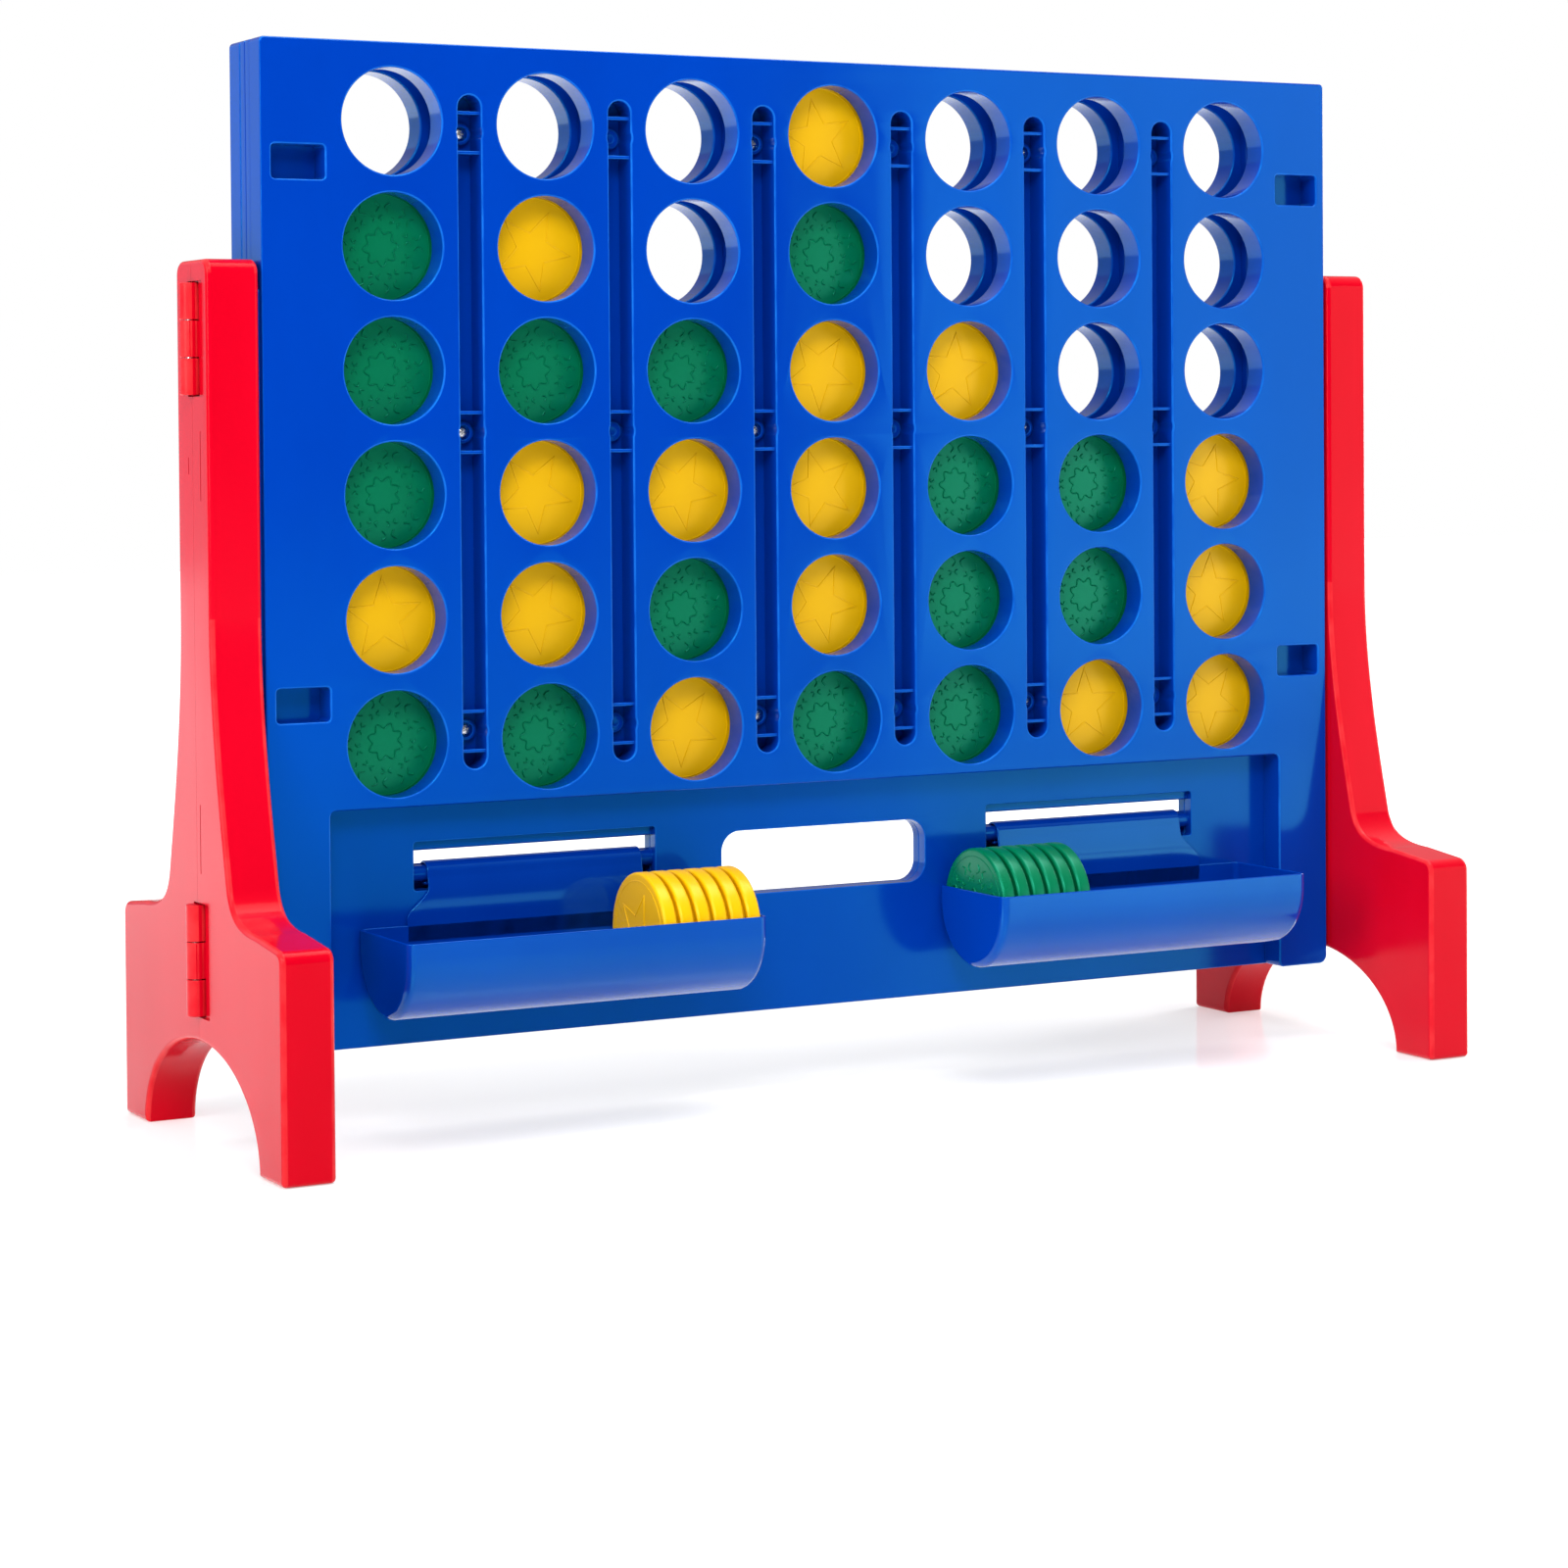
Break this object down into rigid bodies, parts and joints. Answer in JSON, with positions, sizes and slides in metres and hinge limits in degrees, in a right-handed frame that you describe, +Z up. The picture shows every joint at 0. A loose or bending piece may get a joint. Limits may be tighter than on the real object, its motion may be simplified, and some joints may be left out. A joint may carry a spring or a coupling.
{
  "type": "giant four in a row",
  "caption": "Upright blue grid board on red folding feet, with yellow and green discs that drop into its columns and hang-in disc trays below.",
  "frame": {"origin": "on the ground under the middle of the board", "axes": "+X along the board, -Y towards the front with the trays, +Z up"},
  "size_m": [1.213, 0.386, 0.9307],
  "materials": {
    "board": "injection-moulded blue polypropylene, glossy",
    "tray": "injection-moulded blue polypropylene, glossy",
    "rod": "moulded blue rod",
    "foot": "injection-moulded red polypropylene, glossy",
    "yellow_disc": "moulded yellow plastic, satin",
    "green_disc": "moulded green plastic, satin",
    "pin": "plain steel pin"
  },
  "bodies": {
    "board": {"front_panel": "board", "back_panel": "board", "left_tray_rod": "rod", "right_tray_rod": "rod", "left_foot_back": "foot", "right_foot_back": "foot", "left_lower_hinge_pin": "pin", "left_upper_hinge_pin": "pin", "right_lower_hinge_pin": "pin", "right_upper_hinge_pin": "pin"},
    "column_1_discs": {"column_1_disc_1": "green_disc", "column_1_disc_2": "yellow_disc", "column_1_disc_3": "green_disc", "column_1_disc_4": "green_disc", "column_1_disc_5": "green_disc"},
    "column_2_discs": {"column_2_disc_1": "green_disc", "column_2_disc_2": "yellow_disc", "column_2_disc_3": "yellow_disc", "column_2_disc_4": "green_disc", "column_2_disc_5": "yellow_disc"},
    "column_3_discs": {"column_3_disc_1": "yellow_disc", "column_3_disc_2": "green_disc", "column_3_disc_3": "yellow_disc", "column_3_disc_4": "green_disc"},
    "column_4_discs": {"column_4_disc_1": "green_disc", "column_4_disc_2": "yellow_disc", "column_4_disc_3": "yellow_disc", "column_4_disc_4": "yellow_disc", "column_4_disc_5": "green_disc", "column_4_disc_6": "yellow_disc"},
    "column_5_discs": {"column_5_disc_1": "green_disc", "column_5_disc_2": "green_disc", "column_5_disc_3": "green_disc", "column_5_disc_4": "yellow_disc"},
    "column_6_discs": {"column_6_disc_1": "yellow_disc", "column_6_disc_2": "green_disc", "column_6_disc_3": "green_disc"},
    "column_7_discs": {"column_7_disc_1": "yellow_disc", "column_7_disc_2": "yellow_disc", "column_7_disc_3": "yellow_disc"},
    "left_tray": {"left_tray": "tray"},
    "left_tray_discs": {"left_tray_disc_1": "yellow_disc", "left_tray_disc_2": "yellow_disc", "left_tray_disc_3": "yellow_disc", "left_tray_disc_4": "yellow_disc", "left_tray_disc_5": "yellow_disc", "left_tray_disc_6": "yellow_disc"},
    "left_foot_front": {"left_foot_front": "foot"},
    "right_tray": {"right_tray": "tray"},
    "right_tray_discs": {"right_tray_disc_1": "green_disc", "right_tray_disc_2": "green_disc", "right_tray_disc_3": "green_disc", "right_tray_disc_4": "green_disc", "right_tray_disc_5": "green_disc", "right_tray_disc_6": "green_disc"},
    "right_foot_front": {"right_foot_front": "foot"}
  },
  "joints": [
    {"name": "column_1_lift", "type": "slide", "parent": "board", "child": "column_1_discs", "axis": [0, 0, 1], "range_m": [0, 0.66]},
    {"name": "column_2_lift", "type": "slide", "parent": "board", "child": "column_2_discs", "axis": [0, 0, 1], "range_m": [0, 0.66]},
    {"name": "column_3_lift", "type": "slide", "parent": "board", "child": "column_3_discs", "axis": [0, 0, 1], "range_m": [0, 0.66]},
    {"name": "column_4_lift", "type": "slide", "parent": "board", "child": "column_4_discs", "axis": [0, 0, 1], "range_m": [0, 0.66]},
    {"name": "column_5_lift", "type": "slide", "parent": "board", "child": "column_5_discs", "axis": [0, 0, 1], "range_m": [0, 0.66]},
    {"name": "column_6_lift", "type": "slide", "parent": "board", "child": "column_6_discs", "axis": [0, 0, 1], "range_m": [0, 0.66]},
    {"name": "column_7_lift", "type": "slide", "parent": "board", "child": "column_7_discs", "axis": [0, 0, 1], "range_m": [0, 0.66]},
    {"name": "left_tray_swing", "type": "hinge", "parent": "board", "child": "left_tray", "pos_m": [-0.289, 0, 0.219], "axis": [-1, 0, 0], "range_deg": [0, 60]},
    {"name": "left_tray_discs_lift", "type": "slide", "parent": "left_tray", "child": "left_tray_discs", "axis": [0, 0, -1], "range_m": [-0.075, 0]},
    {"name": "left_foot_fold", "type": "hinge", "parent": "board", "child": "left_foot_front", "pos_m": [-0.5975, 0, 0.3725], "axis": [0, 0, -1], "range_deg": [0, 170]},
    {"name": "right_tray_swing", "type": "hinge", "parent": "board", "child": "right_tray", "pos_m": [0.289, 0, 0.219], "axis": [-1, 0, 0], "range_deg": [0, 60]},
    {"name": "right_tray_discs_lift", "type": "slide", "parent": "right_tray", "child": "right_tray_discs", "axis": [0, 0, -1], "range_m": [-0.075, 0]},
    {"name": "right_foot_fold", "type": "hinge", "parent": "board", "child": "right_foot_front", "pos_m": [0.5975, 0, 0.3725], "axis": [0, 0, 1], "range_deg": [0, 170]}
  ]
}
